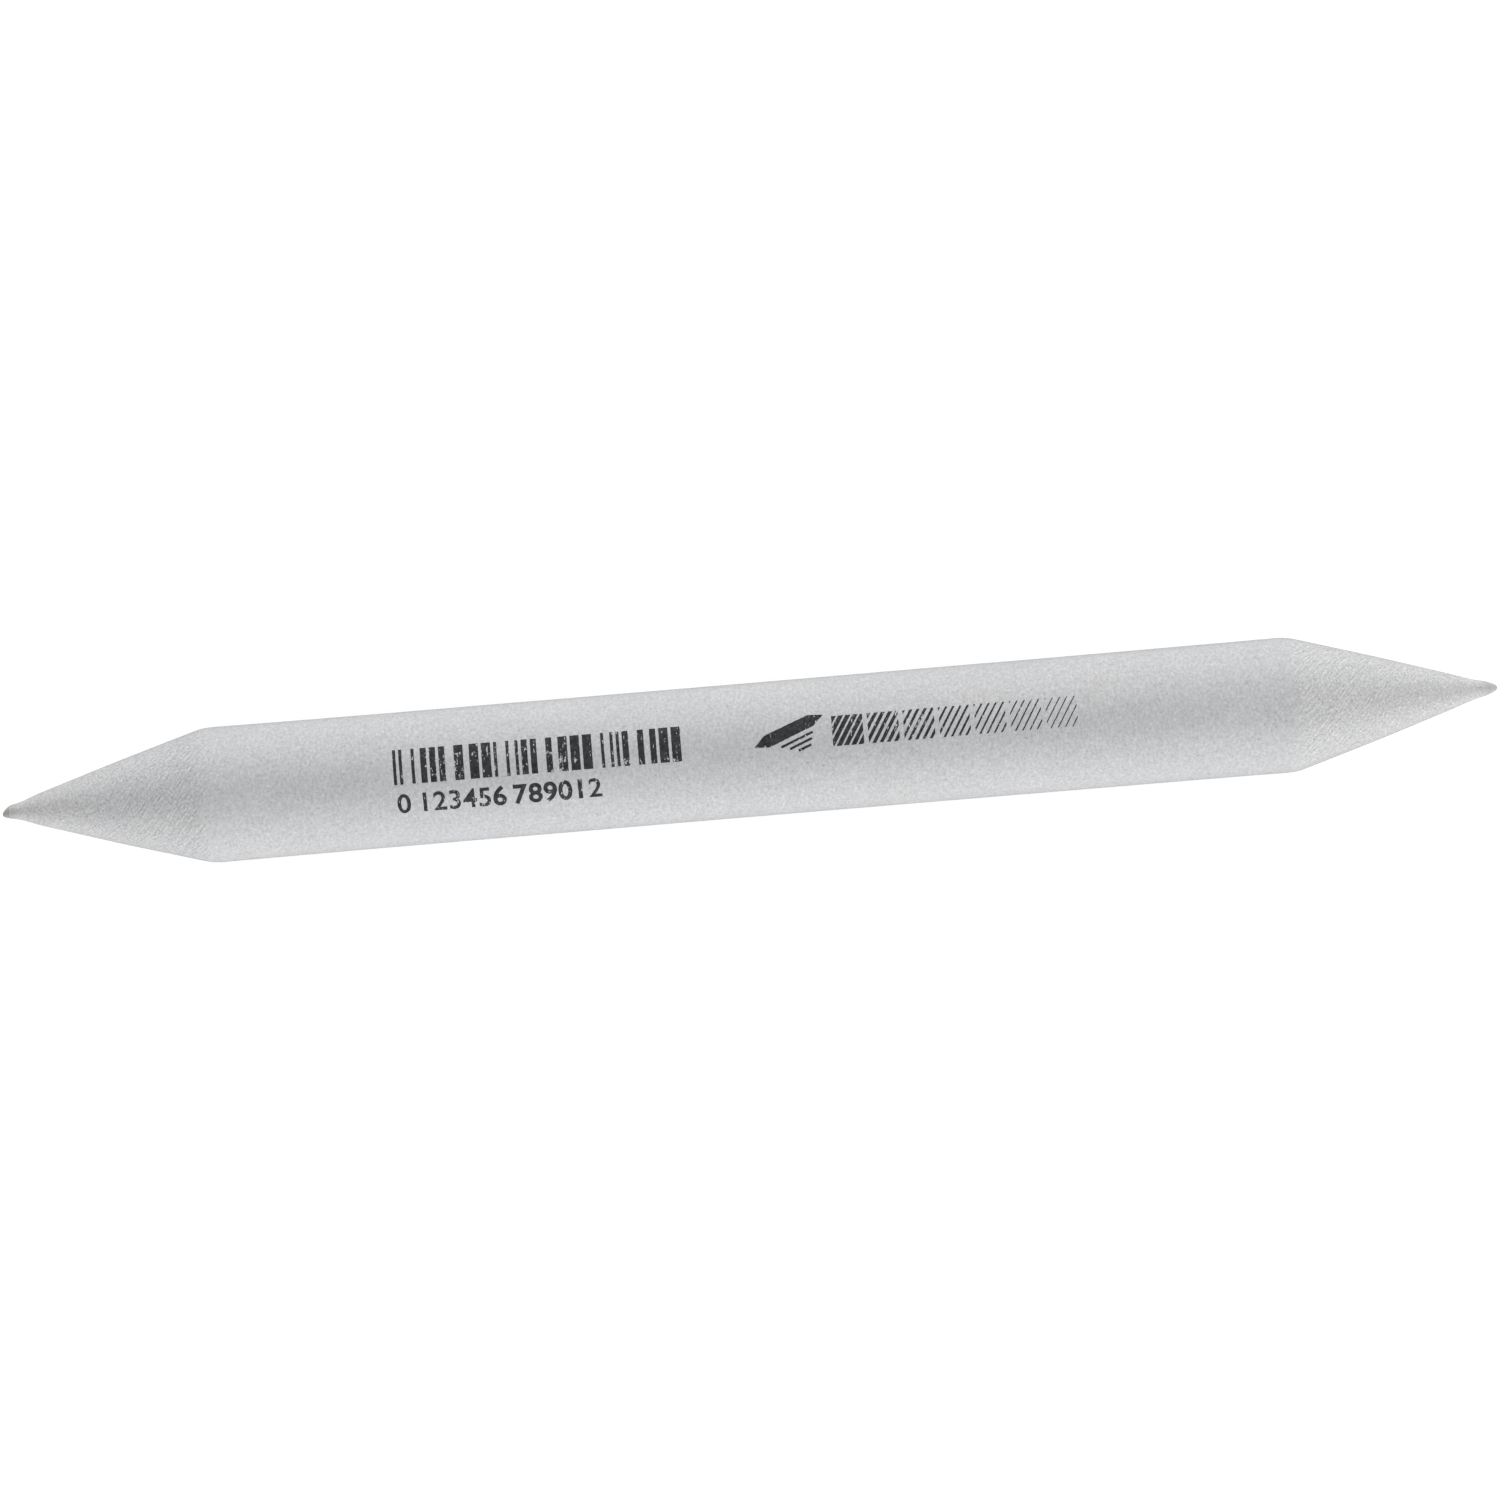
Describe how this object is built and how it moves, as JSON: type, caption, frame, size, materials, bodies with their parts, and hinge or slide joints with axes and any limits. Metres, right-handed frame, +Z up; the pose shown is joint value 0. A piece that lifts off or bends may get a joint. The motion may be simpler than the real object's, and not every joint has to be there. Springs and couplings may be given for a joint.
{
  "type": "blending stump",
  "caption": "Slim grey stick of tightly wound felt paper, ground to a blunt-nibbed conical point at both ends, for smudging charcoal, graphite and pastel.",
  "frame": {"origin": "on the plane that the stump lies on, under the middle of its length", "axes": "+X along the stump to its right-hand point, +Z up, +Y across, away from a viewer at the front"},
  "size_m": [0.1296, 0.0116, 0.0116],
  "materials": {
    "grey_felt": "matt, soft, slightly fuzzy felt paper with fine sanding marks",
    "core_paper": "matt, dense rolled paper",
    "dried_paste": "thin dried starch paste, dull"
  },
  "bodies": {
    "root": {"felt_sheet": "grey_felt", "core_roll": "core_paper", "head_paste_line": "dried_paste", "tail_paste_line": "dried_paste"}
  },
  "joints": []
}
